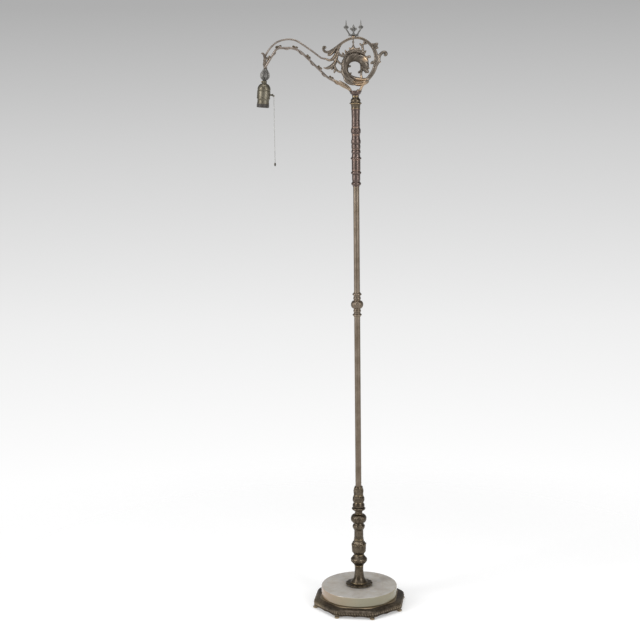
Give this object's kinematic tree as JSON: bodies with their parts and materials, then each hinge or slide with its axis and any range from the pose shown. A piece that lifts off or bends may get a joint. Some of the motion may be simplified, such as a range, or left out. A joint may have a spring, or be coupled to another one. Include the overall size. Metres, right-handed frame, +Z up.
{
  "type": "bridge floor lamp",
  "caption": "Floor lamp with an octagonal cast base, stone disc, turned post, and a turning scroll bracket whose bent arm carries a pull-chain bulb socket.",
  "frame": {"origin": "on the floor, on the axis of the post", "axes": "+Z up along the post, the arm reaches towards -X, the pictured front faces -Y"},
  "size_m": [0.3783, 0.2412, 1.5585],
  "materials": {
    "base_iron": "aged bronze finish, worn golden on the rim and feet",
    "ballast_iron": "black paint",
    "bushing": "moulded",
    "felt": "felt",
    "onyx": "polished veined onyx",
    "steel": "plain",
    "brass": "plain brass",
    "wire": "cloth covered",
    "dark_bronze": "aged bronze patina",
    "tube_bronze": "dull aged brass",
    "red_bronze": "reddish aged bronze",
    "scroll_bronze": "dark patina with golden high spots",
    "pewter_bronze": "dark grey patina",
    "socket_brass": "tarnished brass",
    "bakelite": "dark moulded",
    "fibre": "paper fibre",
    "ceramic": "unglazed ceramic",
    "bob_metal": "dark patina"
  },
  "bodies": {
    "post": {"base_casting": "base_iron", "cord_bushing": "bushing", "felt_ring": "felt", "onyx_disc": "onyx", "ballast_disc": "ballast_iron", "lock_washer": "steel", "base_nut": "brass", "lower_pipe": "steel", "upper_pipe": "steel", "pipe_coupling": "brass", "post_wire": "wire", "foot_flange": "dark_bronze", "foot_bell": "dark_bronze", "lower_bead": "dark_bronze", "leaf_collar": "dark_bronze", "vase_stem": "dark_bronze", "oblate_bead": "dark_bronze", "neck_spool": "dark_bronze", "ring_collar": "dark_bronze", "torus_bead": "dark_bronze", "acanthus_cup": "dark_bronze", "lower_tube": "tube_bronze", "knop_lower_end": "tube_bronze", "knop_ball": "tube_bronze", "knop_upper_end": "tube_bronze", "upper_tube": "tube_bronze", "column_foot": "red_bronze", "low_sleeve": "red_bronze", "middle_ring": "red_bronze", "spindle": "red_bronze", "high_ring": "red_bronze", "high_sleeve": "red_bronze", "column_cap": "red_bronze", "swivel_washer": "brass", "swivel_nut": "brass"},
    "arm": {"arm_collar": "red_bronze", "arm_tube": "scroll_bronze", "arm_wire": "wire", "scroll_bracket": "scroll_bronze", "trident_finial": "pewter_bronze", "arm_rod": "scroll_bronze", "vine_strand": "scroll_bronze", "arm_knuckle": "scroll_bronze", "leaf_bud": "scroll_bronze", "socket_cap": "socket_brass", "set_screw": "brass", "socket_shell": "socket_brass", "mouth_ring": "bakelite", "insulating_sleeve": "fibre", "switch_body": "ceramic", "screw_shell": "brass", "centre_contact": "brass", "terminal_screws": "brass", "chain_bell": "socket_brass"},
    "pull": {"pull_link": "socket_brass"},
    "chain": {"pull_chain": "socket_brass", "chain_bob": "bob_metal"}
  },
  "joints": [
    {"name": "arm_swivel", "type": "hinge", "parent": "post", "child": "arm", "pos_m": [0, 0, 1.3683], "axis": [0, 0, 1], "range_deg": [-165, 165]},
    {"name": "chain_pull", "type": "slide", "parent": "arm", "child": "pull", "axis": [0, 0, -1], "range_m": [0, 0.008], "stiffness_N_per_m": 300, "springref_m": -0.003},
    {"name": "chain_swing", "type": "hinge", "parent": "pull", "child": "chain", "pos_m": [-0.212, 0, 1.36669], "axis": [1, 0, 0], "range_deg": [-45, 45]}
  ]
}
